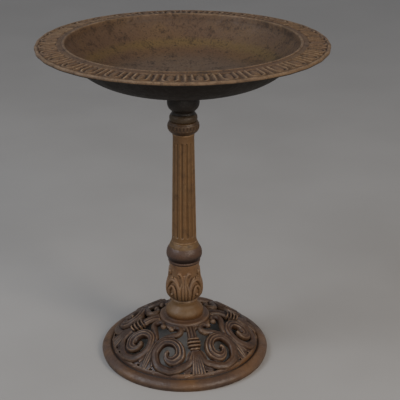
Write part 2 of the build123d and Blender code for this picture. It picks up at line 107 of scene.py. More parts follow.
class Shader:
    """A material's node tree, with a short call for each kind of node used here."""

    def __init__(self, name, roughness, specular):
        self.material = bpy.data.materials.new(name)
        self.material.use_nodes = True
        self.tree = self.material.node_tree
        self.surface = self.tree.nodes["Principled BSDF"]
        self.surface.inputs["Roughness"].default_value = roughness
        self.surface.inputs["Specular IOR Level"].default_value = specular
        self.place = self.tree.nodes.new("ShaderNodeTexCoord").outputs["Object"]

    def feed(self, socket, value):
        if isinstance(value, bpy.types.NodeSocket):
            self.tree.links.new(value, socket)
        elif isinstance(value, tuple):
            socket.default_value = (*value, 1)
        else:
            socket.default_value = value

    def noise(self, scale, detail=4.0, roughness=0.55, distortion=0.0, place=None):
        node = self.tree.nodes.new("ShaderNodeTexNoise")
        self.feed(node.inputs["Vector"], place or self.place)
        self.feed(node.inputs["Scale"], scale)
        self.feed(node.inputs["Detail"], detail)
        self.feed(node.inputs["Roughness"], roughness)
        self.feed(node.inputs["Distortion"], distortion)
        return node.outputs["Fac"]

    def stretched(self, scale):
        node = self.tree.nodes.new("ShaderNodeMapping")
        self.feed(node.inputs["Vector"], self.place)
        node.inputs["Scale"].default_value = scale
        return node.outputs["Vector"]

    def ramp(self, value, low, high, low_out=0.0, high_out=1.0):
        node = self.tree.nodes.new("ShaderNodeMapRange")
        node.interpolation_type = "SMOOTHSTEP"
        for socket, number in zip(node.inputs[:5], (value, low, high, low_out, high_out)):
            self.feed(socket, number)
        return node.outputs["Result"]

    def mix(self, share, first, second):
        node = self.tree.nodes.new("ShaderNodeMix")
        node.data_type = "RGBA"
        self.feed(node.inputs["Factor"], share)
        self.feed(node.inputs[6], first)
        self.feed(node.inputs[7], second)
        return node.outputs[2]

    def maths(self, operation, first, second):
        node = self.tree.nodes.new("ShaderNodeMath")
        node.operation = operation
        self.feed(node.inputs[0], first)
        self.feed(node.inputs[1], second)
        return node.outputs[0]

    def geometry(self, output):
        return self.tree.nodes.new("ShaderNodeNewGeometry").outputs[output]

    def height(self):
        node = self.tree.nodes.new("ShaderNodeSeparateXYZ")
        self.feed(node.inputs[0], self.place)
        return node.outputs["Z"]

    def facing_down(self):
        node = self.tree.nodes.new("ShaderNodeSeparateXYZ")
        self.feed(node.inputs[0], self.geometry("Normal"))
        return self.ramp(node.outputs["Z"], -0.05, -0.35)

    def bump(self, height, distance, under=None):
        node = self.tree.nodes.new("ShaderNodeBump")
        node.inputs["Distance"].default_value = distance
        self.feed(node.inputs["Height"], height)
        if under:
            self.feed(node.inputs["Normal"], under)
        return node.outputs["Normal"]

    def finish(self, colour, roughness, normal):
        self.feed(self.surface.inputs["Base Color"], colour)
        self.feed(self.surface.inputs["Roughness"], roughness)
        self.feed(self.surface.inputs["Normal"], normal)
        return self.material


BROAD_SCALE = 14
PATCH_SCALE = 55
LUMP_SCALE = 160
SPOT_SCALE = 260
GRIT_SCALE = 900
LUMP_DEPTH = 0.0009
GRIT_DEPTH = 0.00025


def bronze(name, recess, body, rubbed_and_highlight, blotch, rub_and_highlight_share=1.0, blotch_share=0.5, gloss=(0.34, 0.58),
           speckle=0.0, rub_and_highlight_from=0.505, rub_and_highlight_to=0.56, painted_underside_shade=None, tone_and_painted_light_bands=()):
    """Antique bronze paint on rough cast metal: dark in its recesses (patina deepened as painted shade), light
    on its edges (wear carrying a painted highlight), blotched.

    speckle is the strength of dark spots. The two edge limits are the sharpness of edge at which the wear and
    painted highlight start and are full. The colour given for faces that look down is painted shade. Each
    height band is (from height, to height, fade, share, colour) of colour that fades out at both ends: a tone
    of the metal on some parts, painted shade or a painted highlight on others.
    """
    shader = Shader(name, 0.45, 0.45)
    broad = shader.noise(BROAD_SCALE, 5, 0.6, 0.4)
    patchy = shader.noise(PATCH_SCALE, 6, 0.65, 0.6)
    grit = shader.noise(GRIT_SCALE, 3, 0.6)
    lumps = shader.noise(LUMP_SCALE, 4, 0.6)
    edge = shader.geometry("Pointiness")
    colour = shader.mix(shader.ramp(broad, 0.35, 0.68, 0, blotch_share), body, blotch)
    # Bands of colour by height: a tone of the metal on some parts, painted shade or a painted highlight on
    # others.
    for low, high, fade, share, band_colour in tone_and_painted_light_bands:
        rise = shader.ramp(shader.height(), low - fade, low + fade, 0, share)
        fall = shader.ramp(shader.height(), high + fade, high - fade)
        uneven = shader.ramp(patchy, 0.30, 0.52, 0.6, 1.0)
        cover = shader.maths("MULTIPLY", shader.maths("MULTIPLY", rise, fall), uneven)
        colour = shader.mix(cover, colour, band_colour)
    colour = shader.mix(shader.ramp(patchy, 0.52, 0.70, 0, 0.55), colour, recess)
    if speckle:
        clusters = shader.ramp(patchy, 0.40, 0.58, 0.35, 1.0)
        spots = shader.ramp(shader.noise(SPOT_SCALE, 5, 0.7), 0.50, 0.64, 0, speckle)
        colour = shader.mix(shader.maths("MULTIPLY", spots, clusters), colour, recess)
    # Hollows found by pointiness darken towards the recess colour: dark patina, deepened as painted shade.
    hollow = shader.ramp(edge, 0.50, 0.44, 0, 0.9)
    colour = shader.mix(hollow, colour, recess)
    # Sharp edges go light: wear on the raised edges, with a painted highlight laid on them.
    ridge = shader.ramp(edge, rub_and_highlight_from, rub_and_highlight_to, 0, rub_and_highlight_share)
    wear_and_highlight = shader.maths("MULTIPLY", ridge, shader.ramp(lumps, 0.30, 0.55, 0.35, 1.0))
    wear_and_highlight = shader.maths("MULTIPLY", wear_and_highlight, shader.ramp(patchy, 0.36, 0.56, 1.0, 0.5))
    colour = shader.mix(wear_and_highlight, colour, rubbed_and_highlight)
    speck = shader.ramp(grit, 0.62, 0.72, 0, 0.35)
    colour = shader.mix(speck, colour, rubbed_and_highlight)
    # Painted shade: faces that look down are darkened to a given shade colour.
    if painted_underside_shade:
        colour = shader.mix(shader.facing_down(), colour, painted_underside_shade)
    roughness = shader.ramp(patchy, 0.3, 0.7, *gloss)
    normal = shader.bump(grit, GRIT_DEPTH, shader.bump(lumps, LUMP_DEPTH))
    return shader.finish(colour, roughness, normal)


def zinc(name):
    """Zinc-plated steel with faint turning marks and dull patches."""
    shader = Shader(name, 0.35, 0.5)
    shader.surface.inputs["Metallic"].default_value = 0.9
    patches = shader.noise(220, 4, 0.6)
    marks = shader.noise(900, 2, 0.5, place=shader.stretched((0.2, 0.2, 3.0)))
    colour = shader.mix(shader.ramp(patches, 0.4, 0.7), (0.42, 0.41, 0.38), (0.30, 0.27, 0.22))
    roughness = shader.ramp(patches, 0.3, 0.7, 0.28, 0.5)
    return shader.finish(colour, roughness, shader.bump(marks, 0.0001))


def rubber(name):
    """Black rubber sheet with a dusty bloom."""
    shader = Shader(name, 0.7, 0.3)
    bloom = shader.noise(120, 5, 0.6)
    grain = shader.noise(1500, 2, 0.5)
    colour = shader.mix(shader.ramp(bloom, 0.4, 0.75), (0.012, 0.012, 0.012), (0.05, 0.047, 0.043))
    return shader.finish(colour, shader.ramp(bloom, 0.3, 0.7, 0.6, 0.8), shader.bump(grain, 0.0001))


def pale_floor():
    shader = Shader("pale_floor", 0.6, 0.3)
    cloud = shader.noise(3, 3, 0.5)
    colour = shader.mix(shader.ramp(cloud, 0.3, 0.7), (0.33, 0.315, 0.30), (0.36, 0.345, 0.33))
    return shader.finish(colour, shader.ramp(cloud, 0.3, 0.7, 0.5, 0.6), shader.bump(cloud, 0.0002))


# ---- Mesh building ---------------------------------------------------------------------------------

def add_piece(name, points_mm, faces, body, replaced, material):
    """Make a mesh object from points in millimetres and place it on its CAD body."""
    mesh = bpy.data.meshes.new(name)
    mesh.from_pydata((np.asarray(points_mm, float) * MM).tolist(), [], faces)
    outward = bmesh.new()
    outward.from_mesh(mesh)
    bmesh.ops.recalc_face_normals(outward, faces=outward.faces)
    outward.to_mesh(mesh)
    outward.free()
    mesh.shade_smooth()
    piece = link(bpy.data.objects.new(name, mesh))
    piece.data.materials.append(material)
    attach(piece, body)
    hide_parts(*replaced)
    return piece


def grid_faces(rows, columns, close_rows):
    """Quads of a grid whose columns run round in a ring. close_rows joins the last row to the first."""
    faces = []
    for i in range(rows if close_rows else rows - 1):
        low = i * columns
        high = ((i + 1) % rows) * columns
        for j in range(columns):
            k = (j + 1) % columns
            faces.append((low + j, low + k, high + k, high + j))
    return faces


def turned(outline, segments, shape=None):
    """Points and faces of an outline of (radius, height) turned about the axis.

    An outline that starts and ends on the axis closes on it, and any other is a closed loop. shape(radius,
    height, turn) gives new radii and heights for the points, which come as rows round the axis.
    """
    outline = np.asarray(outline, float)
    on_axis = outline[0, 0] < 1e-6 and outline[-1, 0] < 1e-6
    ring = outline[1:-1] if on_axis else outline
    angle = np.arange(segments) * tau / segments
    radius = np.repeat(ring[:, :1], segments, 1)
    height = np.repeat(ring[:, 1:], segments, 1)
    turn = np.repeat(angle[None, :], len(ring), 0)
    if shape:
        radius, height = shape(radius, height, turn)
    points = np.stack([radius * np.cos(turn), radius * np.sin(turn), height], -1).reshape(-1, 3)
    faces = grid_faces(len(ring), segments, not on_axis)
    if on_axis:
        first = len(points)
        points = np.vstack([points, [(0, 0, outline[0, 1]), (0, 0, outline[-1, 1])]])
        last_row = (len(ring) - 1) * segments
        for j in range(segments):
            k = (j + 1) % segments
            faces.append((first, k, j))
            faces.append((first + 1, last_row + j, last_row + k))
    return points, faces


def arc(centre, radius, start, end, count):
    """Points of an arc in the outline's plane, angles in degrees from the outward direction."""
    angles = np.radians(np.linspace(start, end, count))
    return [(centre[0] + radius * cos(a), centre[1] + radius * sin(a)) for a in angles]


def straight(start, end, count):
    """Points from start to end, without the last one."""
    return [tuple(np.array(start) + (np.array(end) - np.array(start)) * i / count) for i in range(count)]


def smooth_curve(points, step):
    """Catmull-Rom curve through rows of numbers whose first two columns are a place, sampled evenly."""
    points = np.asarray(points, float)
    padded = np.vstack([2 * points[0] - points[1], points, 2 * points[-1] - points[-2]])
    rows = []
    for i in range(1, len(padded) - 2):
        before, start, end, after = padded[i - 1:i + 3]
        count = max(2, ceil(np.linalg.norm((end - start)[:2]) / step))
        for t in np.arange(count) / count:
            rows.append(0.5 * (2 * start + (end - before) * t
                               + (2 * before - 5 * start + 4 * end - after) * t ** 2
                               + (3 * start - before - 3 * end + after) * t ** 3))
    rows.append(padded[-2])
    return np.array(rows)


def sweep(surface, curve, ribs=0, floor=-4.0, samples=13, rib_depth=0.35):
    """A raised band that follows curve on a surface, as closed points and faces.

    The curve's rows are (u, v, half width, height). surface(u, v) gives points and normals. ribs ridges run
    along the band, rib_depth deep as a share of its height, and it reaches down to floor below the surface.
    """
    curve = np.asarray(curve, float)
    place, half_width, height = curve[:, :2], curve[:, 2], curve[:, 3]
    tangent = np.gradient(place, axis=0)
    tangent /= np.linalg.norm(tangent, axis=1)[:, None] + 1e-9
    across = np.stack([-tangent[:, 1], tangent[:, 0]], 1)
    side = np.linspace(-1, 1, samples)
    crown = np.sqrt(np.clip(1 - np.abs(side) ** 2.6, 0, 1))[None, :].repeat(len(curve), 0)
    if ribs:
        grooves = 0.5 + 0.5 * np.cos(tau * ribs * (side + 1) / 2)
        crown = crown * (1 - np.reshape(rib_depth, (-1, 1)) * grooves[None, :])
    under_side = np.linspace(0.86, -0.86, 5)
    offsets = np.concatenate([side, under_side])
    places = place[:, None, :] + across[:, None, :] * (half_width[:, None] * offsets)[..., None]
    top = height[:, None] * crown
    lifts = np.concatenate([top, np.full((len(curve), 5), floor)], 1)
    base, normal = surface(places[..., 0], places[..., 1])
    points = base + normal * lifts[..., None]
    rows, columns = points.shape[:2]
    faces = grid_faces(rows, columns, False)
    faces.append(tuple(range(columns))[::-1])
    faces.append(tuple((rows - 1) * columns + j for j in range(columns)))
    return points.reshape(-1, 3), faces


def knob(surface, u, v, radius, height, floor=-3.0):
    """A round bead that sits on a surface."""
    points, faces = turned([(0, 1), *arc((0, 0), 1, 80, -80, 9), (0, -1)], 20)
    base, axis = surface(np.array(u), np.array(v))
    first = np.cross(axis, (0.3, 0.5, 0.8))
    first /= np.linalg.norm(first)
    second = np.cross(axis, first)
    return base + radius * (points[:, :1] * first + points[:, 1:2] * second) + np.where(
        points[:, 2:] > 0, points[:, 2:] * height, -points[:, 2:] * floor) * axis, faces


def joined(parts):
    """One list of points and faces from several."""
    points, faces, count = [], [], 0
    for part_points, part_faces in parts:
        points.append(part_points)
        faces += [tuple(i + count for i in face) for face in part_faces]
        count += len(part_points)
    return np.vstack(points), faces


def cast_together(piece, voxel_mm, triangles):
    """Fuse a piece's overlapping solids into one skin, soften it and thin it out to a number of triangles."""
    remesh = piece.modifiers.new("fuse", "REMESH")
    remesh.mode = "VOXEL"
    remesh.voxel_size = voxel_mm * MM
    remesh.use_smooth_shade = True
    soften = piece.modifiers.new("soften", "SMOOTH")
    soften.factor = 0.5
    soften.iterations = 1
    settle(piece)
    count = sum(len(face.vertices) - 2 for face in piece.data.polygons)
    if count > triangles:
        thin = piece.modifiers.new("thin", "DECIMATE")
        thin.ratio = triangles / count
        settle(piece)
    piece.data.shade_smooth()


def settle(piece):
    """Apply a piece's modifiers to its mesh."""
    graph = bpy.context.evaluated_depsgraph_get()
    graph.update()
    mesh = bpy.data.meshes.new_from_object(piece.evaluated_get(graph))
    piece.modifiers.clear()
    old = piece.data
    piece.data = mesh
    bpy.data.meshes.remove(old)


def turned_place(place, azimuth):
    """Plan points given as (across, outward) on a tassel's axis, turned to its azimuth."""
    place = np.asarray(place, float)
    a = radians(azimuth)
    across, outward = place[..., 0], place[..., 1]
    return np.stack([across * cos(a) + outward * sin(a), across * sin(a) - outward * cos(a)], -1)


# ---- Bowl ------------------------------------------------------------------------------------------

RIM_UNITS = 32                 # egg-and-dart repeats round the rim
UNIT_SAMPLES = 24
RIM_PHASE = -4.8               # azimuth of one egg
FLOOR_SLOPE = 12.7
WALL = 4.5
RIM_WIDTH = 41.5
ROUNDED_WALL = 72.0
MOUTH_INSET = 5.4
BEAD_WIDTH = 4.6
BEAD_HEIGHT = 1.0
RIM_FALL = 3.4
RIM_THICKNESS = 5.0
BOSS_RADIUS = 30.0
BOSS_HEIGHT = 7.65
BASIN_FLOOR_RADIUS = 36.0
THREAD_HOLE_RADIUS = 4.8125
THREAD_HOLE_DEPTH = 11.51
PATTERN_START = 7.0            # from the mouth bead out to the pattern
PATTERN_WIDTH = 30.0
PATTERN_SINK = 1.7             # how deep the ground between the figures lies
EGG_HEIGHT = 3.1
EGG_HALF_WIDTH = 5.6
EGG_HALF_LENGTH = 12.5
SHELL_HEIGHT = 2.7
SHELL_RADIUS = 10.8
SHELL_HALF_WIDTH = 2.6
LIP_RISE = 0.7
SCALLOP_DEPTH = 0.9


def bowl_outline():
    """The bowl's outline from the middle of the basin, over the rim and under it to the threaded hole."""
    low, high = box_mm("bowl")
    outside, boss_z, rim_z = high[0], low[2], high[2] - BEAD_HEIGHT
    slope = radians(FLOOR_SLOPE)
    wall_r = outside - RIM_WIDTH
    cone_r = wall_r - ROUNDED_WALL
    mouth_r = wall_r - MOUTH_INSET
    bowl_z = boss_z + BOSS_HEIGHT
    under_z = rim_z - RIM_FALL - RIM_THICKNESS
    cone_end = np.array((cone_r, bowl_z + (cone_r - BOSS_RADIUS) * np.tan(slope)))
    chord = np.array((wall_r, under_z + 0.5)) - cone_end
    radius = chord @ chord / (2 * (chord[1] * cos(slope) - chord[0] * sin(slope)))
    centre = cone_end + radius * np.array((-sin(slope), cos(slope)))
    inner = radius - WALL
    inner_cone_end = centre + inner * np.array((sin(slope), -cos(slope)))
    inner_floor_z = inner_cone_end[1] - (inner_cone_end[0] - BASIN_FLOOR_RADIUS) * np.tan(slope)
    mouth_angle = -np.degrees(np.arccos((mouth_r - centre[0]) / inner))
    wall_angle = -np.degrees(np.arccos((wall_r - centre[0]) / radius))
    rim_edge_z = rim_z - RIM_FALL
    lip = 1.9
    points = [(0, inner_floor_z), (6, inner_floor_z), (18, inner_floor_z), (30, inner_floor_z + 0.2)]
    points += straight((42, inner_floor_z + 1.4), inner_cone_end, 8)
    points += arc(centre, inner, FLOOR_SLOPE - 90, mouth_angle, 20)
    bead = (mouth_r + BEAD_WIDTH / 2, rim_z - 0.4)
    points += [(bead[0] - cos(a) * BEAD_WIDTH / 2, bead[1] + sin(a) * (BEAD_HEIGHT + 0.4))
               for a in np.linspace(0.1, pi - 0.1, 7)]
    points += straight((mouth_r + BEAD_WIDTH + 0.4, rim_z - 0.3), (outside - 3.4, rim_edge_z - 0.3), 42)
    points += arc((outside - lip, rim_edge_z - lip), lip, 80, 0, 4)
    points += arc((outside - lip, under_z + lip), lip, 0, -90, 4)
    points += straight((outside - 6, under_z), (wall_r + 3, under_z), 5)
    points += arc(centre, radius, wall_angle, FLOOR_SLOPE - 90, 18)
    points += straight(tuple(cone_end), (BOSS_RADIUS + 2, bowl_z + 0.6), 6)[1:]
    points += [(BOSS_RADIUS, bowl_z - 1), (BOSS_RADIUS, boss_z + 0.8), (BOSS_RADIUS - 0.8, boss_z),
               (THREAD_HOLE_RADIUS + 6, boss_z), (THREAD_HOLE_RADIUS + 0.8, boss_z),
               (THREAD_HOLE_RADIUS, boss_z + 0.8), (THREAD_HOLE_RADIUS, boss_z + THREAD_HOLE_DEPTH),
               (0, boss_z + THREAD_HOLE_DEPTH)]
    return points


def bump_up(distance, half_width):
    """Rounded ridge: 1 on its middle line, 0 from half_width outwards."""
    return np.sqrt(np.clip(1 - (distance / half_width) ** 2, 0, 1))


def rim_pattern(radius, height, turn):
    """Raise eggs, shells and darts on the rim, and give its outer edge a faint scallop."""
    high = box_mm("bowl")[1]
    outside = high[0]
    start = outside - RIM_WIDTH - MOUTH_INSET + BEAD_WIDTH + PATTERN_START
    end = start + PATTERN_WIDTH
    middle = (start + end) / 2
    unit = tau / RIM_UNITS
    azimuth = turn + pi / 2 - radians(RIM_PHASE)
    share = (azimuth / unit + 0.5) % 1 - 0.5
    across = share * unit * middle
    on_top = height > high[2] - BEAD_HEIGHT - RIM_FALL - 1.2
    inside = np.clip((radius - start) / 2, 0, 1) * np.clip((end - radius) / 1.5, 0, 1) * on_top
    along = radius - middle + 0.5
    egg_space = 1 - (across / EGG_HALF_WIDTH) ** 2 - (along / EGG_HALF_LENGTH) ** 2
    egg = EGG_HEIGHT * np.sqrt(np.clip(egg_space, 0, 1))
    past = np.clip(radius - (middle + 2.5), 0, None)
    shell = SHELL_HEIGHT * bump_up(np.hypot(across, past) - SHELL_RADIUS, SHELL_HALF_WIDTH)
    edge_gap = unit * middle / 2 - np.abs(across)
    taper = 3.4 - 1.5 * np.clip((radius - start) / PATTERN_WIDTH, 0, 1)
    dart = SHELL_HEIGHT * bump_up(edge_gap, taper)
    relief = np.maximum(np.maximum(egg, shell), dart) - PATTERN_SINK
    height = height + inside * relief
    lip = on_top * bump_up(radius - (end + 1.8), 2.2)
    height = height + LIP_RISE * lip
    scallop = np.clip((radius - outside + 6) / 6, 0, 1) * (0.5 - 0.5 * np.cos(azimuth * RIM_UNITS))
    return radius - SCALLOP_DEPTH * scallop, height


def make_bowl(material):
    points, faces = turned(bowl_outline(), RIM_UNITS * UNIT_SAMPLES, rim_pattern)
    return add_piece("bowl_casting", points, faces, "bowl", ["bowl"], material)


# ---- Base: dome, tassels, scrolls, leaves and foot ring ------------------------------------------------

SECTORS = 4
TASSEL_AZIMUTH = 11.0
DOME_MOUTH = 46.0
DOME_EDGE = 127.0
DOME_TOP_Z = 64.0
DOME_DROP = 46.0
DOME_POWER = 1.55
SCROLL_RADIUS = 97.0
SCROLL_ANGLE = 25.0
REED_LEAST = 0.05              # depth of the grooves along a scroll, as a share of its height
REED_EXTRA = 0.24
REED_MIDDLE = 0.76             # where the grooves are deepest, as a share of the scroll's run
REED_SPREAD = 0.15
BORDER_INNER = 124.0
SCROLL_VOXEL = 0.8
SCROLL_TRIANGLES = 190000


def dome(x, y):
    """Points and outward normals of the dome at plan places."""
    radius = np.hypot(x, y)
    share = np.clip((radius - DOME_MOUTH) / (DOME_EDGE - DOME_MOUTH), 0, 1.05)
    z = DOME_TOP_Z - DOME_DROP * share ** DOME_POWER
    fall = DOME_DROP * DOME_POWER / (DOME_EDGE - DOME_MOUTH) * share ** (DOME_POWER - 1)
    normal = np.stack([fall * x / radius, fall * y / radius, np.ones_like(z)], -1)
    normal /= np.linalg.norm(normal, axis=-1)[..., None]
    return np.stack([x, y, z], -1), normal


def placed(curve, azimuth, side=1):
    """A curve given as (across, outward, half width, height) on a tassel's axis, turned into plan."""
    curve = np.array(curve, float)
    curve[:, 0] *= side
    curve[:, :2] = turned_place(curve[:, :2], azimuth)
    return curve


def polar_rows(rows):
    """Rows of (radius, angle from the axis, half width, height) as (across, outward, half width, height)."""
    return [(r * sin(radians(a)), r * cos(radians(a)), w, h) for r, a, w, h in rows]


def scroll_rows():
    """The big scroll: an arm from the tassel's skirt, round the outside and in to the eye."""
    centre = np.array((SCROLL_RADIUS * sin(radians(SCROLL_ANGLE)), SCROLL_RADIUS * cos(radians(SCROLL_ANGLE))))
    outward = centre / SCROLL_RADIUS
    to_leaf = np.array((outward[1], -outward[0]))
    rows = [(4.0, 92.0, 2.6, 4.0), (8.0, 101.0, 4.0, 4.6), (14.0, 109.0, 5.0, 4.8)]
    turns = ((40, 27.5, 5.4, 4.8), (65, 25.0, 5.2, 5.0), (90, 24.0, 5.4, 5.4), (135, 25.2, 6.2, 6.2),
             (180, 26.4, 6.6, 6.8), (225, 23.8, 6.8, 7.2), (270, 18.6, 7.0, 7.4), (315, 16.4, 8.4, 7.6),
             (360, 15.6, 9.8, 7.6), (405, 12.4, 8.6, 7.2), (450, 9.8, 6.6, 6.6), (495, 8.4, 5.0, 6.2),
             (540, 7.2, 3.6, 6.4), (580, 6.0, 2.4, 6.4))
    for angle, radius, width, height in turns:
        a = radians(angle)
        place = centre + radius * (sin(a) * outward - cos(a) * to_leaf)
        rows.append((*place, width, height))
    return rows


HOOK = polar_rows(((53.5, 35.5, 2.8, 4.2), (48.8, 29.5, 3.6, 4.6), (50.0, 21.5, 4.4, 5.0),
                   (56.5, 18.0, 5.0, 5.2), (62.4, 21.5, 5.4, 5.2), (66.4, 28.5, 5.4, 5.0),
                   (71.5, 35.5, 4.8, 4.6), (78.0, 41.5, 3.6, 4.0), (85.0, 44.8, 2.0, 3.2)))
CURL_BEAD = (53.8, 36.0, 5.0, 5.6)


def web_ties(azimuth, places, half_width):
    """Short pieces of web that reach the border ring, with the pin-holes left between them."""
    return [sweep(dome, smooth_curve(placed(((across, 117, half_width, 0.6), (across, 126, half_width, 0.6)),
                                            azimuth), 2.0)) for across in places]


def tassel_parts(azimuth):
    """Stem, ribs across it and fluted skirt of one tassel, with the web behind the skirt."""
    stem = [(0, 44, 9.4, 3.0), (0, 52, 8.2, 4.6), (0, 62, 8.2, 5.2), (0, 74, 9.0, 4.6), (0, 92, 6.4, 3.6)]
    web = [(0, 90, 10.0, 0.6), (0, 97, 16.0, 0.6), (0, 106, 19.0, 0.6), (0, 114, 22.0, 0.6),
           (0, 120.6, 26.0, 0.6)]
    parts = [sweep(dome, smooth_curve(placed(stem, azimuth), 1.5), ribs=3, rib_depth=0.25, samples=19),
             sweep(dome, smooth_curve(placed(web, azimuth), 2.0))]
    parts += web_ties(azimuth, (-20.0, 20.0), 5.0)
    bow = 1.6
    for outward, reach, size in ((74.0, 9.8, 2.1), (79.6, 11.0, 2.3), (85.2, 10.6, 2.3), (90.6, 8.0, 2.1)):
        ring = [(share * reach, outward - bow * share ** 2, size * (1 - 0.25 * abs(share)),
                 8.6 - 3.6 * share ** 2) for share in np.linspace(-1, 1, 7)]
        parts.append(sweep(dome, smooth_curve(placed(ring, azimuth), 1.0)))
    skirt = [(0, 88, 4.0, 1.8), (0, 98, 5.8, 1.8), (0, 110, 8.2, 1.6), (0, 125, 11.0, 1.2)]
    parts.append(sweep(dome, smooth_curve(placed(skirt, azimuth), 2.0)))
    for share in (-1, -0.5, 0, 0.5, 1):
        rib = [(share * 2.2, 89, 1.1, 3.8), (share * 4.6, 100, 1.6, 4.8), (share * 7.4, 112, 2.0, 4.4),
               (share * 10.0, 125, 2.1, 2.8)]
        parts.append(sweep(dome, smooth_curve(placed(rib, azimuth), 1.5), samples=9))
    return parts


def leaf_parts(azimuth):
    """Slender pointed leaf between two scrolls, with a middle rib, two lobes and the web behind it."""
    blade = [(0, 80, 0.8, 3.0), (0, 90, 2.8, 5.0), (0, 100, 4.6, 6.0), (0, 110, 6.0, 5.6), (0, 118, 5.4, 4.2),
             (0, 125, 3.6, 2.0)]
    web = [(0, 92, 3.0, 0.5), (0, 104, 7.0, 0.5), (0, 113, 13.0, 0.5), (0, 120.6, 20.0, 0.5)]
    parts = [sweep(dome, smooth_curve(placed(blade, azimuth), 1.5), ribs=3, rib_depth=0.45, samples=19),
             sweep(dome, smooth_curve(placed(web, azimuth), 2.0))]
    parts += web_ties(azimuth, (-7.2, 7.2), 3.2) + web_ties(azimuth, (-19.0, 19.0), 4.0)
    for side in (-1, 1):
        lobe = [(side * 1.6, 92, 1.2, 2.8), (side * 4.6, 102, 2.0, 3.4), (side * 8.6, 111, 2.4, 3.2),
                (side * 13.0, 118, 2.0, 2.4)]
        parts.append(sweep(dome, smooth_curve(placed(lobe, azimuth), 1.5), samples=9))
    return parts


def make_scrollwork(material):
    parts = []
    for sector in range(SECTORS):
        azimuth = TASSEL_AZIMUTH + sector * 360 / SECTORS
        parts += tassel_parts(azimuth)
        parts += leaf_parts(azimuth + 180 / SECTORS)
        for side in (-1, 1):
            scroll = smooth_curve(placed(scroll_rows(), azimuth, side), 1.5)
            run = np.linspace(0, 1, len(scroll))
            reeding = REED_LEAST + REED_EXTRA * np.exp(-((run - REED_MIDDLE) / REED_SPREAD) ** 2)
            parts.append(sweep(dome, scroll, ribs=3, rib_depth=reeding, samples=33))
            parts.append(sweep(dome, smooth_curve(placed(HOOK, azimuth, side), 1.5), ribs=1, rib_depth=0.2))
            radius, angle, size, height = CURL_BEAD
            bead = polar_rows([(radius, angle, 0, 0)])[0]
            place = turned_place((side * bead[0], bead[1]), azimuth)
            parts.append(knob(dome, *place, size, height))
    points, faces = joined(parts)
    piece = add_piece("base_scrollwork", points, faces, "pedestal", ["base_casting"], material)
    cast_together(piece, SCROLL_VOXEL, SCROLL_TRIANGLES)
    return piece


# The foot ring's moulding from its inner foot over the top, as (inset from the outside, height).
FOOT_MOULDING = ((8.4, 0), (4, 0), (1.9, 0), (1.5, 1.2), (0.3, 4.8), (0, 7.5), (0.9, 9.6), (2.9, 11.8),
                 (5.8, 13.9), (9.2, 15.1), (12.6, 15.5), (14.8, 15.0), (16.2, 13.6), (17.2, 13.0))


def make_foot_ring(material):
    outside = box_mm("base_casting")[1][0]
    outline = [(outside - inset, height) for inset, height in FOOT_MOULDING]
    outline += [(DOME_EDGE + 0.4, 13.6), (DOME_EDGE + 0.1, 16.4), (DOME_EDGE - 0.6, 19.3),
                (DOME_EDGE - 1.8, 20.6), (BORDER_INNER + 0.4, 21.6), (BORDER_INNER - 0.4, 20.8),
                (BORDER_INNER - 0.4, 17.0), (DOME_EDGE, 12.0), (outside - 9.2, 6.0)]
    points, faces = turned(outline, 288)
    return add_piece("base_foot_ring", points, faces, "pedestal", ["base_casting"], material)


ROD_HOLE = 5.3625
HUB_FOOT = 54.0


def make_base_hub(material):
    top = box_mm("base_casting")[1][2]
    outline = [(ROD_HOLE, HUB_FOOT), (14, HUB_FOOT), (23.2, HUB_FOOT), (24, HUB_FOOT + 0.8), (24, 57.4),
               (26, 58.2), (36, 58.2), (46.5, 57.6), (49.2, 58.6), (49.8, 60.6), (49.0, 62.6), (47.2, 64.0),
               (45.0, 64.5), (43.8, 65.0), (43.6, 66.6), (42.9, 68.2), (41.5, 69.3), (39.5, 69.6),
               (36.0, 69.6), (34.6, 70.2), (33.6, 71.0), (24, 71.0), (15.0, 71.0), (15.0, top - 0.5),
               (14.5, top), (ROD_HOLE, top)]
    points, faces = turned(outline, 160)
    return add_piece("base_collar", points, faces, "pedestal", ["base_casting"], material)


# ---- Acanthus bulb ------------------------------------------------------------------------------------

BULB_LEAVES = 4
CORE_RADIUS = 11.5
REGISTER_RADIUS = 15.0
REGISTER_HEIGHT = 3.0
REGISTER_CLEARANCE = 0.2
REGISTER_RELIEF = 0.5
BULB_VOXEL = 0.5
BULB_TRIANGLES = 180000
BULB_GAUGE = 30.0              # radius at which a place round the bulb is measured in millimetres
BULB_PROFILE = ((0.0, 22.2), (2.2, 23.6), (4.4, 22.4), (6.0, 22.4), (10.5, 25.6), (16.0, 28.0),
                (23.0, 28.9), (30.0, 28.2), (40.0, 25.7), (48.0, 24.3), (55.0, 24.0), (62.0, 24.8),
                (69.0, 25.8), (73.0, 26.2))


def bulb_curve():
    return smooth_curve(BULB_PROFILE, 0.8)


def bulb_surface(u, v):
    """Points and normals of the bulb at a place round it (millimetres at the gauge radius) and a height."""
    curve = bulb_curve()
    low = box_mm("acanthus_bulb")[0][2]
    radius = np.interp(v, curve[:, 0], curve[:, 1])
    slope = np.interp(v + 0.5, curve[:, 0], curve[:, 1]) - np.interp(v - 0.5, curve[:, 0], curve[:, 1])
    angle = u / BULB_GAUGE
    out = np.stack([np.sin(angle), -np.cos(angle), np.zeros_like(angle)], -1)
    points = out * radius[..., None] + np.stack([0 * v, 0 * v, v + low], -1)
    normal = out + np.stack([0 * v, 0 * v, -slope], -1)
    return points, normal / np.linalg.norm(normal, axis=-1)[..., None]


def shifted(rows, shift, side=1):
    return [(shift + side * u, v, w, h) for u, v, w, h in rows]


def cored(base, top, profile):
    """A column casting's outline: its outside profile, with the core, the recess and the spigot added."""
    seat = top - REGISTER_HEIGHT
    bore = REGISTER_RADIUS + REGISTER_CLEARANCE
    recess_top = base + REGISTER_HEIGHT + REGISTER_RELIEF
    inside = [(CORE_RADIUS, recess_top), (bore, recess_top), (bore, base)]
    outside = [(radius, base + height) for radius, height in profile]
    return inside + outside + [(REGISTER_RADIUS, seat), (REGISTER_RADIUS, top), (CORE_RADIUS, top)]


